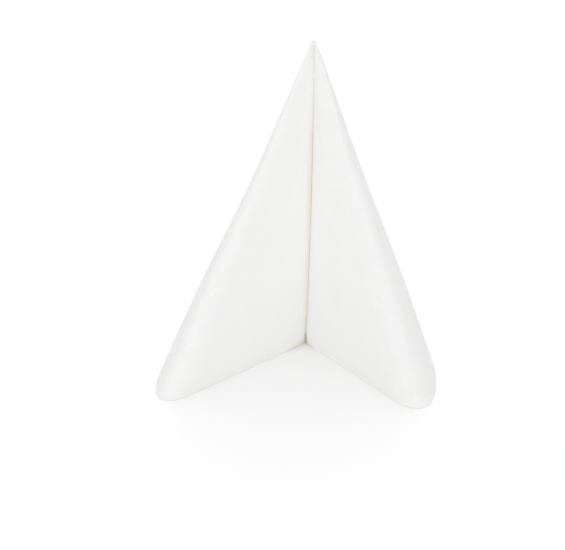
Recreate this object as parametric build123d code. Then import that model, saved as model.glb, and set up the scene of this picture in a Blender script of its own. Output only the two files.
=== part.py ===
"""Paper napkin folded into a standing cone: a square sheet, halved and rolled about the middle of its fold."""
import os
from math import cos, pi, radians, sin

from build123d import *

# The open sheet, in millimetres
sheet_side = 400.0         # side of the open square
ply = 0.4                  # thickness of one layer
ply_gap_foot = 0.6         # air between the two layers where they end, at the foot
ply_gap_tip = 0.2          # air between them near the tip, where they are pressed together

# The plan at the foot: seam, flap, roll and back on each side
flap_angle_left = 42.4     # each front flap's turn, in degrees, from straight ahead
flap_angle_right = 40.6
flap_run_left = 99.6       # flat bottom edge of each flap, from the seam to its roll
flap_run_right = 88.6
roll_radius_left = 9.8     # outside of the soft roll where each flap turns into the back
roll_radius_right = 11.4
roll_turn = 128.0          # degrees through which each roll turns
ridge_reach = 92.0         # from the seam back to the middle crease of the sheet
seam_gap = 3.2             # between the two folded edges at the foot, closing towards the tip
corner_radius_left = 12.0  # rounding of each flap's corner at the foot of the seam
corner_radius_right = 7.0

# The sides stand straight up to one height and sag inwards above it, up to another
sag_start = 50.0
sag_full = 140.0
sag_depth = 1.35           # at the upper height, along the left flap

# The tip
tip_lean = 2.4             # sideways, to the right of the seam's foot
tip_nod = 1.5              # forwards
tip_width = 4.4            # across the blunt end
roll_bore_tip = 0.2        # inside radius of the rolls where the hollow closes

# Paper bends in narrow flat strips: how many there are round each stretch, and up the height
roll_strips = 10
back_strips = 14
turn_strips = 4
height_bands = 6

# Folded in half, the sheet is half as high as it is wide.
# The seam edges are the two halves of its folded edge.
apex_height = sheet_side / 2
wall_foot = 2 * ply + ply_gap_foot
wall_tip = 2 * ply + ply_gap_tip

RIGHT = 1
LEFT = -1
flap_angle = {RIGHT: flap_angle_right, LEFT: flap_angle_left}
flap_run = {RIGHT: flap_run_right, LEFT: flap_run_left}
roll_radius = {RIGHT: roll_radius_right, LEFT: roll_radius_left}
corner_radius = {RIGHT: corner_radius_right, LEFT: corner_radius_left}

# The hollow closes where the layers fill the tighter roll
tight_roll = min(roll_radius_left, roll_radius_right)
hollow_top = apex_height * (1 - (wall_tip + roll_bore_tip) / (tight_roll - wall_foot + wall_tip))


def along_flap(side):
    """Unit vector, in plan, from the seam along a flap: forwards (-Y) and out to its side."""
    angle = radians(flap_angle[side])
    return Vector(side * sin(angle), -cos(angle))


def half_plan(side):
    """Corners of one side's outer line in plan at the foot: flap, roll and back, short of the ridge crease."""
    seam = Vector(side * seam_gap / 2, 0)
    flap = Line(seam, seam + along_flap(side) * flap_run[side])
    roll = JernArc(flap @ 1, flap % 1, roll_radius[side], side * roll_turn)
    back = TangentArc(roll @ 1, Vector(0, ridge_reach), tangent=roll % 1)
    corners = [seam, flap @ 1]
    corners += [roll @ (strip / roll_strips) for strip in range(1, roll_strips + 1)]
    corners += [back @ (strip / back_strips) for strip in range(1, back_strips)]
    return corners


# The outer line from the right seam edge, round the back, to the left seam edge
plan = half_plan(RIGHT) + [Vector(0, ridge_reach)] + half_plan(LEFT)[::-1]


def inward_offsets():
    """What moves each corner of the plan inwards when every strip moves in by one millimetre."""
    square = [(end - start).normalized().rotate(Axis.Z, 90) for start, end in zip(plan, plan[1:])]
    mitred = [(one + other) / (1 + one.dot(other)) for one, other in zip(square, square[1:])]
    return [square[0]] + mitred + [square[-1]]


offsets = inward_offsets()


# What the full sag takes off the section, as a share of it
sag_share = sag_depth / (flap_run_left * (1 - sag_full / apex_height))


def sag_rise(z):
    """How much of the full sag there is at a height, from 0 to 1 with soft ends."""
    way = min(max((z - sag_start) / (sag_full - sag_start), 0), 1)
    return way**2 * (3 - 2 * way)


def outline(z, depth):
    """Corners round the napkin at a height and a depth below its outer face, from right seam edge to left."""
    h = z / apex_height
    scale = (1 - h) * (1 - sag_share * sag_rise(z))
    middle = Vector(tip_lean * h, -tip_nod * h, z)
    return [corner * scale + offset * depth + middle for corner, offset in zip(plan, offsets)]


def seam_turn(side, start, end):
    """Corners round the fold at a seam edge, between two layers."""
    middle = (start + end) / 2
    nose = along_flap(side) * -(end - start).length / 2
    angles = [pi * strip / turn_strips for strip in range(1, turn_strips)]
    return [middle + (start - middle) * cos(angle) + nose * sin(angle) for angle in angles]


def layers(z, cover):
    """Closed line round both layers at a height, with this much cover over it on each face."""
    wall = wall_foot + (wall_tip - wall_foot) * z / apex_height
    outer = outline(z, cover)
    inner = outline(z, wall - cover)
    left_turn = seam_turn(LEFT, outer[-1], inner[-1])
    right_turn = seam_turn(RIGHT, inner[0], outer[0])
    return outer + left_turn + inner[::-1] + right_turn


def ring(corners):
    """Closed wire through corners."""
    return Wire.make_polygon(corners)


def strips(lines):
    """Flat faces up through closed lines that have as many corners each."""
    faces = []
    for low, high in zip(lines, lines[1:]):
        for four in zip(low, low[1:] + low[:1], high[1:] + high[:1], high):
            faces.append(Face(ring(four)))
    return faces


def tip_lines():
    """The outer line from the hollow's top to the blunt end, and inside it the crest of the tip."""
    foot_width = max(corner.X for corner in plan) - min(corner.X for corner in plan)
    blunt_end = outline(apex_height * (1 - tip_width / foot_width), 0)
    middle = sum(blunt_end, Vector()) / len(blunt_end)
    crest = [(corner + middle) / 2 + Vector(0, 0, tip_width / 4) for corner in blunt_end]
    return [outline(hollow_top, 0), blunt_end, crest]


def folded_sheet():
    """Both layers, the air between them and the closed tip, as one solid of flat strips."""
    outside = [layers(hollow_top * band / height_bands, 0) for band in range(height_bands + 1)]
    air_top = hollow_top - wall_tip
    air = [layers(air_top * band / height_bands, ply) for band in range(height_bands + 1)]
    tip = tip_lines()
    foot = Face(ring(outside[0]), [ring(air[0])])
    # Above the hollow the layers are pressed into one, under a level ceiling inside the outer line
    ceiling = Face(ring(outside[-1][len(plan) - 1:] + outside[-1][:1]))
    faces = strips(outside) + strips(air) + strips(tip)
    faces += [foot, ceiling, Face(ring(air[-1])), Face(ring(tip[-1]))]
    return Solid(Shell(faces)).fix()


def corner_cut(side):
    """What the rounding takes off a flap's corner at the foot of the seam."""
    radius = corner_radius[side]
    along = along_flap(side)
    inward = along.rotate(Axis.Z, 90 * side)
    nose = Vector(side * seam_gap / 2, 0) + (inward - along) * wall_foot / 2
    flap = Plane(origin=nose, x_dir=along, z_dir=along.rotate(Axis.Z, -90))
    corner = Rectangle(radius + wall_foot, radius + wall_foot, align=Align.MAX)
    waste = Pos(radius, radius) * (corner - Circle(radius))
    return extrude(flap * waste, amount=wall_foot, both=True)


def napkin():
    """The folded sheet with its corners rounded, standing on the middle of its footprint."""
    sheet = folded_sheet() - corner_cut(RIGHT) - corner_cut(LEFT)
    middle = sheet.bounding_box().center()
    return Pos(-middle.X, -middle.Y, 0) * sheet


os.makedirs("parts", exist_ok=True)
export_step(napkin(), "parts/napkin.step")
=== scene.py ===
"""White paper napkin folded into a standing cone, on a pale floor in soft studio light."""
import math
from dataclasses import dataclass

import bmesh
import bpy
import numpy as np
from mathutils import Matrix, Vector


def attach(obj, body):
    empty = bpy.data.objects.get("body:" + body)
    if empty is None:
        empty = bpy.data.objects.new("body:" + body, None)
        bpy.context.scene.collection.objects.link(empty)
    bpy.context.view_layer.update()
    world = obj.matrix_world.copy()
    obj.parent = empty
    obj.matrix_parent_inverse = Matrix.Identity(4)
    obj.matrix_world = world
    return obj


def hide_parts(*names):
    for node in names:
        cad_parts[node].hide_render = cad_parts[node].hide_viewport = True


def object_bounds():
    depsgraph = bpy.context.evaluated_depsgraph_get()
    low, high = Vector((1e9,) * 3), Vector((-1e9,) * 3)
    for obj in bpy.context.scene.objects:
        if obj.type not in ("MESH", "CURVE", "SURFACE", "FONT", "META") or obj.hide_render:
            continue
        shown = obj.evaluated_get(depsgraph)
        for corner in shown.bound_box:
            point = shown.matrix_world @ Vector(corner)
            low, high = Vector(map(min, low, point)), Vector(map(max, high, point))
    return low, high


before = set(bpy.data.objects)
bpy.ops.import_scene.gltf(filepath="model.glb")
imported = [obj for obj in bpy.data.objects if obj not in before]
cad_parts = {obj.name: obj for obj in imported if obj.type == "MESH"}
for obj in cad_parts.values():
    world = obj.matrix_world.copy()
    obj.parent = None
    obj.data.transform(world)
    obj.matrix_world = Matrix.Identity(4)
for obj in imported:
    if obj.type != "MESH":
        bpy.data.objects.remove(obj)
cad_low, cad_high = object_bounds()

MM = 0.001

# The sheet and its two layers, in millimetres
SHEET_SIDE = 400.0
APEX_HEIGHT = SHEET_SIDE / 2   # the seam edges are the two halves of the folded edge
PLY = 0.4                      # thickness of one layer
PLY_GAP_FOOT = 0.6             # air between the layers at the foot
PLY_GAP_TIP = 0.2              # and at the tip

# The plan at the foot, in millimetres from the seam
RIDGE = np.array([0.0, 92.0])  # crease at the middle of the back
ROLL_EASE = 6.0                # length over which the paper goes from one bend into the next
EASE_REACH = 3                 # how many such lengths are looked at to each side
HALF_SPREAD = 1.7              # how far each half is set out from the middle line
INNER_CORNER = 1.2             # rounding of the inner layer's corner at the foot of the seam

# How the sides bow as they rise, at shares of the height and by shares of their size
SAG_START = 0.25               # where they begin to sag in
SAG_SPAN = 0.45                # from there to where the sag is full
SWELL_TOP = 0.75               # where the swell of the lower part ends
RIDGE_WAIST = 0.04             # the full sag at the ridge
RIDGE_SWELL = 0.01             # and the swell there

# The faint crown of the flaps and the sway of the whole sheet, in millimetres
FLAP_CROWN = 0.8               # how far a flap stands out at its middle
CROWN_FULLNESS = 0.7           # below 1, the crown keeps more of its height towards foot and tip
SWAY = 0.35                    # how far the sheet sways in and out
SWAY_LENGTH = 23.0             # along the foot, for each radian of a wave
SWAY_TWIST = 2.1               # radians by which the waves shift from foot to tip

# The tip, in millimetres
TIP_LEAN = (2.4, -1.5)         # to the right and forwards
HOLLOW_TOP = 174.5             # height at which the hollow closes
SLOT_TOP = 172.0               # height at which the air between the layers closes
TIP_WIDTH = 4.4                # across the blunt end
DOME_RISE = TIP_WIDTH * 0.45   # height of the round end

# The seam, at these shares of the height, in millimetres
SEAM_SHARES = (0.0, 0.05, 0.12, 0.45, 0.65, 0.8, 0.863, 0.872, 0.9, 0.95, 1.0)
# How far both edges lie to the right of the middle line
SEAM_DRIFT = (-1.2, -0.9, -0.4, 0.3, 0.35, 0.3, 0.12, 0.1, 0.08, 0.04, 0.0)
# How much further to the right the right edge lies
RIGHT_CLEAR = (0.6, 0.6, 0.62, 0.68, 0.66, 0.6, 0.54, 0.53, 0.45, 0.35, 0.3)
# How far the left edge is drawn past the line, behind the right flap
LEFT_LAP = (2.8, 2.8, 2.8, 3.0, 2.6, 1.6, 1.0, 0.0, 0.7, 0.5, 0.0)
# How wide the painted warm shade is along the left edge, where it stands for the shadow in the seam
WARM_SHADE_REACH = (2.0, 2.4, 2.8, 3.4, 3.0, 1.6, 0.8, 0.5, 0.3, 0.3, 0.3)
NONE = (0.0,) * len(SEAM_SHARES)
SEAM_REACH = 30.0              # length of each flap, at the foot, that follows the seam
FOLD_PRESS = 0.8               # share of the air that is pressed out at the fold of a seam edge
FOLD_REACH = 22.0              # length of flap, at the foot, over which the air comes back

# Where the painted shades of the paper change
WARM_TOP = 0.93                # share of the hollow's height at which the seam's painted warm shade ends
WARM_FADE = 0.15               # share below that over which it fades
SIDE_SHADE_START = 0.9               # share of a flap's run at which the painted grey shade of the roll begins
SIDE_SHADE_SPAN = 0.22               # share past that over which it sets in

# How finely the sheet is divided
FINE_STEPS = 1600
FLAP_STEPS = 52
FLAP_SPACING = 1.5             # above 1, the steps are closer together towards the seam
ROLL_STEPS = 28
BACK_STEPS = 48
RIDGE_STEPS = 12
TURN_STEPS = 9
HEIGHT_STEPS = 96
SLOT_STEPS = 24
TIP_STEPS = 16
DOME_STEPS = 6
CREASE_ANGLE = 50.0            # degrees past which an edge stays crisp

# The paper: its white and its painted warm shade, what each part of its look adds to its tone and its relief,
# and its finish
PAPER_WHITE = (0.94, 0.94, 0.935, 1)
# painted shade: a darker cream on the inner faces and along the seam, standing for the shade there and the
# warm light through the layers
WARM_SHADE_COLOUR = (0.9, 0.875, 0.775, 1)
BASE_TONE = 0.962
CLOUD_TONE = 0.04
SPECK_TONE = 0.025
FIBRE_TONE = 0.028
# painted shade: how much greyer the rolls and back are made, for the light that falls off on the sides
SIDE_SHADE_DEPTH = 0.05
FIBRE_RELIEF = 0.6
FUZZ_RELIEF = 0.2
SPECK_RELIEF = 0.4
RELIEF_STRENGTH = 0.3
RELIEF_DEPTH = 0.00017
LEAST_ROUGHNESS = 0.9
FUZZ_ROUGHNESS = 0.08
PAPER_GLOSS = 0.1

# The paper's fibres: how many lengths and widths of one there are to the metre, the ways they lie,
# how far they wander and how fine they are
FIBRE_STRETCH = (260.0, 1500.0, 1500.0)
FIBRE_TURNS = ((0.0, 0.3, 0.7), (0.2, 1.2, 0.5), (0.4, -0.9, 0.9))
FIBRE_WANDER = 0.6
FIBRE_FINENESS = 14.0

# The floor, in metres: the white that the eye sees rises from near to far, and it throws light back evenly
FLOOR_REACH = 6.0
FLOOR_DROP = 0.0001
FLOOR_BOUNCE = (0.93, 0.93, 0.93, 1)
NEAR_EDGE = 0.1
FAR_EDGE = 1.2
NEAR_WHITE = 0.96
FAR_WHITE = 1.1

# The light: how bright the room is, and its lamps, in metres and watts
WHITE = (1, 1, 1, 1)
ROOM_SEEN = 1.0
ROOM_FRONT = 1.145
ROOM_SIDES = 0.42
LAMP_TARGET = Vector((0, 0, 0.08))
LAMPS = (
    {"name": "front_lamp", "place": (0.0, -1.9, 1.2), "size": 1.2, "watts": 2.0},
    {"name": "top_lamp", "place": (0.0, 1.0, 2.2), "size": 1.4, "watts": 5.0},
)

# The camera, in millimetres from the foot of the seam
CAMERA_PLACE = Vector((37.4, -569.2, 315.3))
CAMERA_TARGET = Vector((-7.45, -88.1, 90.0))
CAMERA_LENS = 63.7
SENSOR_WIDTH = 36.0

# A mix node's sockets for colours
MIX_FIRST = 6
MIX_SECOND = 7
MIX_RESULT = 2


def heading(sign, angle):
    """Unit vector in plan, at an angle in degrees from straight ahead (-Y) towards one side."""
    return np.array([sign * math.sin(math.radians(angle)), -math.cos(math.radians(angle))])


def soft_step(way):
    """From 0 to 1 with soft ends."""
    way = np.clip(way, 0, 1)
    return way**2 * (3 - 2 * way)


def softened(turned, step):
    """The turn along a line, with each change of bend spread out as paper does."""
    reach = int(EASE_REACH * ROLL_EASE / step)
    spread = np.exp(-0.5 * (np.arange(-reach, reach + 1) * step / ROLL_EASE) ** 2)
    return np.convolve(np.pad(turned, reach, mode="edge"), spread / spread.sum(), "valid")


def walked(sign, flap_angle, turned, step):
    """Points along a line from the seam that turns away from the flap's direction by these angles."""
    ways = np.array([heading(sign, flap_angle + math.degrees(angle)) for angle in turned])
    return np.vstack([np.zeros(2), np.cumsum((ways[1:] + ways[:-1]) / 2 * step, axis=0)])


@dataclass
class Half:
    """One half of the napkin: stations from its seam edge along flap, roll and back to the ridge crease."""

    sign: int             # 1 for the right half, -1 for the left
    flap_angle: float     # the flap's turn from straight ahead, in degrees
    flap_run: float       # the flat part of the flap's bottom edge, in millimetres
    roll_radius: float    # of the roll before its bend is eased
    roll_turn: float      # degrees through which the roll turns
    corner_radius: float  # rounding of the outer layer's corner at the foot of the seam
    waist: float          # how far the upper part sags in, as a share of its size
    swell: float          # how far the lower part swells out, likewise
    clear: tuple          # how far the seam edge stands clear of the seam, up the height
    lap: tuple            # how far it reaches past the seam

    def __post_init__(self):
        self.along_flap = heading(self.sign, self.flap_angle)
        inward = heading(self.sign, self.flap_angle + 90)
        past_roll = heading(self.sign, self.flap_angle + 90 + self.roll_turn)
        turn = math.radians(self.roll_turn)
        across = RIDGE - self.along_flap * self.flap_run - (inward - past_roll) * self.roll_radius
        back_radius = across @ across / (2 * across @ past_roll)
        back_turn = 2 * math.asin(np.linalg.norm(across) / (2 * back_radius))
        ends = np.cumsum([0, self.flap_run, self.roll_radius * turn, back_radius * back_turn])
        _, flap_end, roll_end, back_end = ends
        fine = np.linspace(0, back_end, FINE_STEPS + 1)
        turned = softened(np.interp(fine, ends, [0, 0, turn, turn + back_turn]), fine[1])
        line = walked(self.sign, self.flap_angle, turned, fine[1])
        # The eased line ends a little off the ridge, and the back takes that up
        line += np.outer(soft_step((fine - roll_end) / (back_end - roll_end)), RIDGE - line[-1])
        self.run = np.concatenate([
            np.linspace(0, 1, FLAP_STEPS + 1) ** FLAP_SPACING * flap_end,
            np.linspace(flap_end, roll_end, ROLL_STEPS + 1)[1:],
            np.linspace(roll_end, back_end, BACK_STEPS + 1)[1:],
        ])
        self.points = np.column_stack([np.interp(self.run, fine, line[:, axis]) for axis in (0, 1)])
        angles = self.flap_angle + 90 + np.degrees(np.interp(self.run, fine, turned))
        self.normals = np.array([heading(self.sign, angle) for angle in angles])
        # At the crease the inner layer is mitred
        steps_to_ridge = np.arange(len(self.run))[::-1]
        mitre = np.array([0, 1 / self.normals[-1, 1]]) - self.normals[-1]
        self.normals += np.outer(np.clip(1 - steps_to_ridge / RIDGE_STEPS, 0, 1), mitre)
        # The halves differ up to the back, and grow alike along it
        own = np.clip(steps_to_ridge / BACK_STEPS, 0, 1)
        self.spread = self.sign * own * HALF_SPREAD
        self.waists = RIDGE_WAIST + (self.waist - RIDGE_WAIST) * own
        self.swells = RIDGE_SWELL + (self.swell - RIDGE_SWELL) * own
        # painted shade: nought along the flap, rising to one on the roll and back, where the paper is made
        # greyer for the light that falls off on the sides
        self.painted_side_shade = soft_step((self.run / self.flap_run - SIDE_SHADE_START) / SIDE_SHADE_SPAN)

    def heights(self, share, top, inner=False):
        """Each station's height at a share of the way from a layer's bottom edge to a level top."""
        radius = INNER_CORNER if inner else self.corner_radius
        short = np.clip(1 - self.run / radius, 0, 1)
        foot = radius * (1 - np.sqrt(1 - short**2))
        return foot + (top - foot) * share

    def wall(self, z):
        """Thickness of both layers and the air between them, which is pressed out near the seam edge."""
        air = PLY_GAP_FOOT + (PLY_GAP_TIP - PLY_GAP_FOOT) * z / APEX_HEIGHT
        press = FOLD_PRESS * np.clip(1 - self.run / FOLD_REACH, 0, 1)
        return 2 * PLY + air * (1 - press)

    def place(self, z, depth):
        """Points of the half at each station's own height, at a depth below the outer face."""
        h = z / APEX_HEIGHT
        scale = 1 - h
        sag = self.waists * soft_step((h - SAG_START) / SAG_SPAN)
        swell = self.swells * np.sin(math.pi * np.clip(h / SWELL_TOP, 0, 1))
        bowed = scale * (1 - sag + swell)
        near_seam = np.clip(1 - self.run / SEAM_REACH, 0, 1)
        along = np.clip(self.run / self.flap_run, 0, 1)
        upright = np.sin(math.pi * np.clip(h, 0, 1))
        crown = FLAP_CROWN * np.sin(math.pi * along) * upright**CROWN_FULLNESS
        waves = np.sin(self.run / SWAY_LENGTH + SWAY_TWIST * h + self.sign)
        sway = SWAY * waves * upright * (1 - near_seam)
        plan = self.points * bowed[:, None] + self.normals * (depth - crown + sway)[:, None]
        lap = np.interp(h, SEAM_SHARES, self.lap)
        drift = np.interp(h, SEAM_SHARES, SEAM_DRIFT) + self.sign * np.interp(h, SEAM_SHARES, self.clear)
        plan -= np.outer(near_seam * lap, self.along_flap)
        plan[:, 0] += near_seam * drift + (1 - near_seam) * self.spread * scale
        plan += np.outer(h, TIP_LEAN)
        return np.column_stack([plan, z])


right_half = Half(
    sign=1,
    flap_angle=40.44,
    flap_run=92.17,
    roll_radius=7.79,
    roll_turn=124.8,
    corner_radius=9.5,
    waist=0.02,
    swell=0.022,
    clear=RIGHT_CLEAR,
    lap=NONE,
)
left_half = Half(
    sign=-1,
    flap_angle=42.16,
    flap_run=103.7,
    roll_radius=5.68,
    roll_turn=125.9,
    corner_radius=16.0,
    waist=0.07,
    swell=0.0,
    clear=NONE,
    lap=LEFT_LAP,
)


def round_layer(right, left):
    """Values at both halves' stations in one line, from the right seam edge to the left one."""
    return np.concatenate([right, left[-2::-1]])


# The painted grey shade of the rolls and back, at every station round both halves
SIDE_SHADE_COLUMNS = round_layer(right_half.painted_side_shade, left_half.painted_side_shade)
COLUMNS = len(SIDE_SHADE_COLUMNS)


def chain(share, top, cover, inner=False):
    """Points round the napkin from right seam edge to left, with the ridge as one shared station."""
    sides = []
    for half in (right_half, left_half):
        z = half.heights(share, top, inner)
        depth = half.wall(z) - cover if inner else np.full(len(z), cover)
        sides.append(half.place(z, depth))
    right, left = sides
    right[-1] = (right[-1] + left[-1]) / 2
    return round_layer(right, left)


def seam_turn(half, outer, inner):
    """Points round the fold from the outer layer's seam edge to the inner one's."""
    middle = (outer + inner) / 2
    out = outer - middle
    nose = -np.append(half.along_flap, 0) * np.linalg.norm(out[:2])
    angles = math.pi * np.arange(1, TURN_STEPS + 1) / (TURN_STEPS + 1)
    return middle + np.outer(np.cos(angles), out) + np.outer(np.sin(angles), nose)


def layer_loop(share, top, cover):
    """A closed loop round both layers, with this much cover over it on each face."""
    outer = chain(share, top, cover)
    inner = chain(share, top, cover, inner=True)
    left_turn = seam_turn(left_half, outer[-1], inner[-1])
    right_turn = seam_turn(right_half, outer[0], inner[0])
    return np.vstack([outer, left_turn, inner[::-1], right_turn[::-1]])


def seam_warm_shade(share):
    """How much painted warm shade each outer station has, standing for the shadow in the seam: all up to
    where the left flap shows, then less.
    """
    h = left_half.heights(share, HOLLOW_TOP) / APEX_HEIGHT
    reach = np.interp(h, SEAM_SHARES, WARM_SHADE_REACH)
    hidden = np.interp(h, SEAM_SHARES, LEFT_LAP)
    tint = np.clip(1 - (left_half.run * (1 - h) - hidden) / reach, 0, 1)
    return round_layer(np.zeros(len(right_half.run)), tint)


class SheetMesh:
    """Vertices and faces of the folded sheet as they are added."""

    def __init__(self):
        self.points = []
        # How much painted warm shade and painted grey shade each point has
        self.inside = []
        self.painted_side_shade = []
        self.faces = []

    def row(self, points, inside, painted_side_shade):
        """Add a row of points, and give back their numbers."""
        first = len(self.points)
        self.points.extend(np.asarray(points) * MM)
        self.inside.extend(np.broadcast_to(inside, (len(points),)))
        self.painted_side_shade.extend(np.broadcast_to(painted_side_shade, (len(points),)))
        return list(range(first, first + len(points)))

    def join(self, low, high, closed=True):
        """A strip of four-sided faces between two rows."""
        count = len(low) if closed else len(low) - 1
        for i in range(count):
            j = (i + 1) % len(low)
            self.faces.append((low[i], low[j], high[j], high[i]))

    def stack(self, rows):
        """Closed strips of faces from each row to the next."""
        for low, high in zip(rows, rows[1:]):
            self.join(low, high)


def add_layers(sheet):
    """The outer and inner faces of the folded sheet, in loops from the foot to the hollow's top."""
    # Painted grey shade on the outer faces of rolls and back only; painted warm shade on all inner faces, and
    # on the folds and the left seam edge, fading towards the top
    fold = np.ones(TURN_STEPS)
    painted_side_shade = np.concatenate([SIDE_SHADE_COLUMNS, 0 * fold, np.zeros(COLUMNS), 0 * fold])
    rows = []
    for share in np.linspace(0, 1, HEIGHT_STEPS + 1):
        warm = soft_step((WARM_TOP - share) / WARM_FADE)
        inside = np.concatenate([seam_warm_shade(share) * warm, fold * warm, np.ones(COLUMNS), fold * warm])
        rows.append(sheet.row(layer_loop(share, HOLLOW_TOP, 0.0), inside, painted_side_shade))
    sheet.stack(rows)
    return rows


def add_air(sheet):
    """The faces round the air between the layers, in loops from the foot to where it closes."""
    shares = np.linspace(0, 1, SLOT_STEPS + 1)
    # The faces round the air have the full painted warm shade and no painted grey shade
    rows = [sheet.row(layer_loop(share, SLOT_TOP, PLY), 1.0, 0.0) for share in shares]
    sheet.stack(rows)
    return rows


def close_air(sheet, top):
    """Close the top loop of the air between the layers, column by column."""
    outer = top[:COLUMNS]
    left_turn = top[COLUMNS:COLUMNS + TURN_STEPS]
    inner = top[COLUMNS + TURN_STEPS:2 * COLUMNS + TURN_STEPS][::-1]
    right_turn = top[2 * COLUMNS + TURN_STEPS:]
    sheet.join(outer, inner, closed=False)
    sheet.faces.append([outer[-1], *left_turn, inner[-1]])
    sheet.faces.append([inner[0], *right_turn, outer[0]])


def add_tip(sheet, below):
    """The gathered tip, which goes on from the outer layer alone and ends in a blunt dome."""
    foot_width = np.ptp(chain(1.0, 0.0, 0.0)[:, 0])
    blunt_height = APEX_HEIGHT * (1 - TIP_WIDTH / foot_width)
    rings = [chain(1.0, z, 0.0) for z in np.linspace(HOLLOW_TOP, blunt_height, TIP_STEPS + 1)[1:]]
    blunt = rings[-1]
    middle = blunt.mean(axis=0)
    for turn in np.linspace(0, math.pi / 2, DOME_STEPS + 1)[1:-1]:
        ring = middle + (blunt - middle) * math.cos(turn)
        ring[:, 2] += DOME_RISE * math.sin(turn)
        rings.append(ring)
    # The tip has no painted warm shade, and the painted grey shade of the rolls and back
    rows = [below] + [sheet.row(ring, 0.0, SIDE_SHADE_COLUMNS) for ring in rings]
    sheet.stack(rows)
    crest = sheet.row([middle + [0, 0, DOME_RISE]], 0.0, 1.0)[0]
    last = rows[-1]
    for i, j in zip(last, last[1:] + last[:1]):
        sheet.faces.append((i, j, crest))


def fold_napkin():
    """The whole sheet as one closed mesh: both layers, the air between them and the gathered tip."""
    sheet = SheetMesh()
    layers = add_layers(sheet)
    air = add_air(sheet)
    sheet.join(layers[0], air[0])
    close_air(sheet, air[-1])
    # The hollow ends in a level face across the gathered paper
    top = layers[-1]
    sheet.faces.append(top[COLUMNS - 1:] + top[:1])
    add_tip(sheet, top[:COLUMNS])
    return sheet


def footprint_middle():
    """Middle of the footprint's box in plan, in metres."""
    foot = chain(0.0, APEX_HEIGHT, 0.0)
    return (foot.min(axis=0) + foot.max(axis=0))[:2] / 2 * MM


def napkin_object():
    """The folded napkin as an object, standing where the solid stands, and the place of its seam's foot."""
    sheet = fold_napkin()
    cad_middle = (cad_low + cad_high) / 2
    seam_foot = np.append(np.array(cad_middle[:2]) - footprint_middle(), 0)
    mesh = bpy.data.meshes.new("napkin_sheet")
    mesh.from_pydata((np.array(sheet.points) + seam_foot).tolist(), [], sheet.faces)
    # The painted warm shade and painted grey shade go onto the mesh for the material
    for name, values in (("inside", sheet.inside), ("painted_side_shade", sheet.painted_side_shade)):
        attribute = mesh.attributes.new(name, "FLOAT", "POINT")
        attribute.data.foreach_set("value", np.array(values, dtype=np.float32))
    faces_out = bmesh.new()
    faces_out.from_mesh(mesh)
    bmesh.ops.recalc_face_normals(faces_out, faces=faces_out.faces)
    faces_out.to_mesh(mesh)
    faces_out.free()
    mesh.polygons.foreach_set("use_smooth", [True] * len(mesh.polygons))
    mesh.set_sharp_from_angle(angle=math.radians(CREASE_ANGLE))
    napkin = bpy.data.objects.new("folded_napkin", mesh)
    bpy.context.collection.objects.link(napkin)
    return napkin, Vector(seam_foot)


class Paint:
    """A socket of a material's nodes, so that shader maths reads as plain sums."""

    def __init__(self, tree, socket):
        self.tree = tree
        self.socket = socket

    def maths(self, operation, first, second):
        """The result of one operation on two values."""
        return node(self.tree, "ShaderNodeMath", {"operation": operation}, {0: first, 1: second})

    def __add__(self, other):
        return self.maths("ADD", self, other)

    def __radd__(self, other):
        return self.maths("ADD", other, self)

    def __sub__(self, other):
        return self.maths("SUBTRACT", self, other)

    def __rsub__(self, other):
        return self.maths("SUBTRACT", other, self)

    def __mul__(self, other):
        return self.maths("MULTIPLY", self, other)

    def __rmul__(self, other):
        return self.maths("MULTIPLY", other, self)

    def __pow__(self, other):
        return self.maths("POWER", self, other)

    def __abs__(self):
        return self.maths("ABSOLUTE", self, 0.0)


def node(tree, kind, settings, inputs, output=0):
    """Add a node of a kind, set its settings, then its sockets' values or links, and give back one output."""
    made = tree.nodes.new(kind)
    for name, value in settings.items():
        setattr(made, name, value)
    for name, value in inputs.items():
        if isinstance(value, Paint):
            tree.links.new(value.socket, made.inputs[name])
        else:
            made.inputs[name].default_value = value
    return Paint(tree, made.outputs[output]) if made.outputs else made


def empty_tree(owner):
    """The node tree of a material or a world, with nothing in it."""
    owner.use_nodes = True
    owner.node_tree.nodes.clear()
    return owner.node_tree


def mixed(tree, factor, first, second, blend="MIX"):
    """Two colours mixed by a factor."""
    settings = {"data_type": "RGBA", "blend_type": blend}
    inputs = {"Factor": factor, MIX_FIRST: first, MIX_SECOND: second}
    return node(tree, "ShaderNodeMix", settings, inputs, MIX_RESULT)


def grey(tree, value):
    """A value as a neutral colour."""
    return node(tree, "ShaderNodeCombineColor", {}, {0: value, 1: value, 2: value})


def grain(tree, place, scale, detail):
    """Soft uneven patches, about this many to the metre."""
    return node(tree, "ShaderNodeTexNoise", {}, {"Vector": place, "Scale": scale, "Detail": detail})


def fibre_layer(tree, place, turn):
    """Short fibres pressed into the paper, all lying about one way."""
    laid = node(tree, "ShaderNodeMapping", {}, {"Vector": place, "Rotation": turn, "Scale": FIBRE_STRETCH})
    patches = {"Vector": laid, "Scale": 1.0, "Detail": 1.0, "Distortion": FIBRE_WANDER}
    level = node(tree, "ShaderNodeTexNoise", {}, patches)
    # A fibre lies along each line where the patches are at their middle level
    return (1.0 - abs(level - 0.5) * 2.0) ** FIBRE_FINENESS


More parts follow.
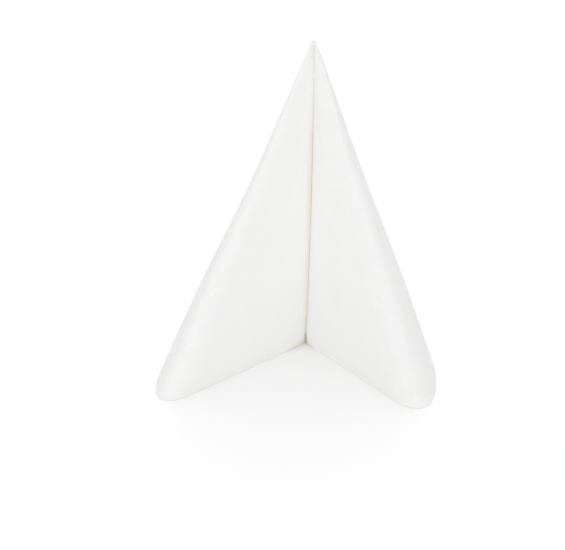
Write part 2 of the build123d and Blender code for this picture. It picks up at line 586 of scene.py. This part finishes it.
def napkin_paper():
    """Soft white napkin paper: cloudy in the hand, with short pressed fibres, a painted warm shade on the
    inner faces and along the seam, and a painted grey shade on the rolls and back.
    """
    material = bpy.data.materials.new("napkin_paper")
    tree = empty_tree(material)
    place = node(tree, "ShaderNodeTexCoord", {}, {}, "Object")
    clouds = grain(tree, place, scale=70.0, detail=3.0)
    specks = grain(tree, place, scale=420.0, detail=3.0)
    fuzz = grain(tree, place, scale=3200.0, detail=2.0)
    fibres = sum(fibre_layer(tree, place, turn) for turn in FIBRE_TURNS)
    # The painted shades: warm for shade in the seam and light through the layers, grey for the light that
    # falls off on the rolls and back
    inside = node(tree, "ShaderNodeAttribute", {"attribute_name": "inside"}, {}, "Fac")
    painted_side_shade = node(tree, "ShaderNodeAttribute", {"attribute_name": "painted_side_shade"}, {}, "Fac")
    light_tone = BASE_TONE + clouds * CLOUD_TONE + specks * SPECK_TONE + fibres * FIBRE_TONE
    # painted shade: the rolls and back made greyer
    tone = light_tone - painted_side_shade * SIDE_SHADE_DEPTH
    # painted shade: a warm cream mixed in on the inner faces and along the seam
    shade = mixed(tree, inside, PAPER_WHITE, WARM_SHADE_COLOUR)
    relief = fibres * FIBRE_RELIEF + fuzz * FUZZ_RELIEF + specks * SPECK_RELIEF
    surface = node(tree, "ShaderNodeBsdfPrincipled", {}, {
        "Base Color": mixed(tree, 1.0, shade, grey(tree, tone), "MULTIPLY"),
        "Roughness": LEAST_ROUGHNESS + fuzz * FUZZ_ROUGHNESS,
        "Normal": node(tree, "ShaderNodeBump", {}, {
            "Strength": RELIEF_STRENGTH,
            "Distance": RELIEF_DEPTH,
            "Height": relief,
        }),
        "Specular IOR Level": PAPER_GLOSS,
    })
    node(tree, "ShaderNodeOutputMaterial", {}, {"Surface": surface})
    return material


def seen_rays(tree):
    """One for rays that the eye sees, straight, mirrored or through glass, and nought for other light."""
    kinds = ("Is Camera Ray", "Is Glossy Ray", "Is Transmission Ray")
    straight, mirrored, through = [node(tree, "ShaderNodeLightPath", {}, {}, kind) for kind in kinds]
    return straight + mirrored + through


def floor_white():
    """Plain white that the eye sees as bright as the background, and that still takes the napkin's shadow."""
    material = bpy.data.materials.new("pale_floor")
    tree = empty_tree(material)
    place = node(tree, "ShaderNodeTexCoord", {}, {}, "Object")
    distance = node(tree, "ShaderNodeVectorMath", {"operation": "LENGTH"}, {0: place}, "Value")
    white = node(tree, "ShaderNodeMapRange", {"interpolation_type": "SMOOTHSTEP"}, {
        "Value": distance,
        "From Min": NEAR_EDGE,
        "From Max": FAR_EDGE,
        "To Min": NEAR_WHITE,
        "To Max": FAR_WHITE,
    })
    colour = mixed(tree, seen_rays(tree), FLOOR_BOUNCE, grey(tree, white))
    surface = node(tree, "ShaderNodeBsdfDiffuse", {}, {"Color": colour})
    node(tree, "ShaderNodeOutputMaterial", {}, {"Surface": surface})
    return material


def pale_floor():
    """A square floor, a hair below the napkin's foot."""
    mesh = bpy.data.meshes.new("pale_floor")
    corners = [(x * FLOOR_REACH, y * FLOOR_REACH, 0) for x, y in ((-1, -1), (1, -1), (1, 1), (-1, 1))]
    mesh.from_pydata(corners, [], [(0, 1, 2, 3)])
    mesh.materials.append(floor_white())
    floor = bpy.data.objects.new("pale_floor", mesh)
    floor.location.z = -FLOOR_DROP
    bpy.context.collection.objects.link(floor)
    return floor


def facing(place, target):
    """Turn that points a lamp or a camera at a target from its place."""
    return (target - place).to_track_quat("-Z", "Y").to_euler()


def studio_light():
    """A white room that is dimmer to the sides, and two large soft lamps: in front, and above and behind."""
    world = bpy.data.worlds.new("white_room")
    bpy.context.scene.world = world
    tree = empty_tree(world)
    walls = []
    for strength in (ROOM_SEEN, ROOM_FRONT, ROOM_SIDES):
        walls.append(node(tree, "ShaderNodeBackground", {}, {"Color": WHITE, "Strength": strength}))
    shown, front, sides = walls
    direction = node(tree, "ShaderNodeTexCoord", {}, {}, "Generated")
    sideways = node(tree, "ShaderNodeSeparateXYZ", {}, {0: direction}, "X")
    glow = node(tree, "ShaderNodeMixShader", {}, {"Fac": sideways * sideways, 1: front, 2: sides})
    both = node(tree, "ShaderNodeMixShader", {}, {"Fac": seen_rays(tree), 1: glow, 2: shown})
    node(tree, "ShaderNodeOutputWorld", {}, {"Surface": both})
    for lamp in LAMPS:
        light = bpy.data.lights.new(lamp["name"], "AREA")
        light.size = lamp["size"]
        light.energy = lamp["watts"]
        holder = bpy.data.objects.new(lamp["name"], light)
        holder.location = lamp["place"]
        holder.rotation_euler = facing(Vector(lamp["place"]), LAMP_TARGET)
        bpy.context.collection.objects.link(holder)


def photo_camera(seam_foot):
    """Camera a little to the right of the seam, looking down at about 25 degrees."""
    camera = bpy.data.cameras.new("photo_camera")
    camera.sensor_fit = "HORIZONTAL"
    camera.sensor_width = SENSOR_WIDTH
    camera.lens = CAMERA_LENS
    holder = bpy.data.objects.new("photo_camera", camera)
    holder.location = seam_foot + CAMERA_PLACE * MM
    holder.rotation_euler = facing(seam_foot + CAMERA_PLACE * MM, seam_foot + CAMERA_TARGET * MM)
    bpy.context.collection.objects.link(holder)
    bpy.context.scene.camera = holder


napkin, seam_foot = napkin_object()
napkin.data.materials.append(napkin_paper())
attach(napkin, "root")
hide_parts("napkin")
pale_floor()
studio_light()
photo_camera(seam_foot)
bpy.context.scene.view_settings.view_transform = "Standard"
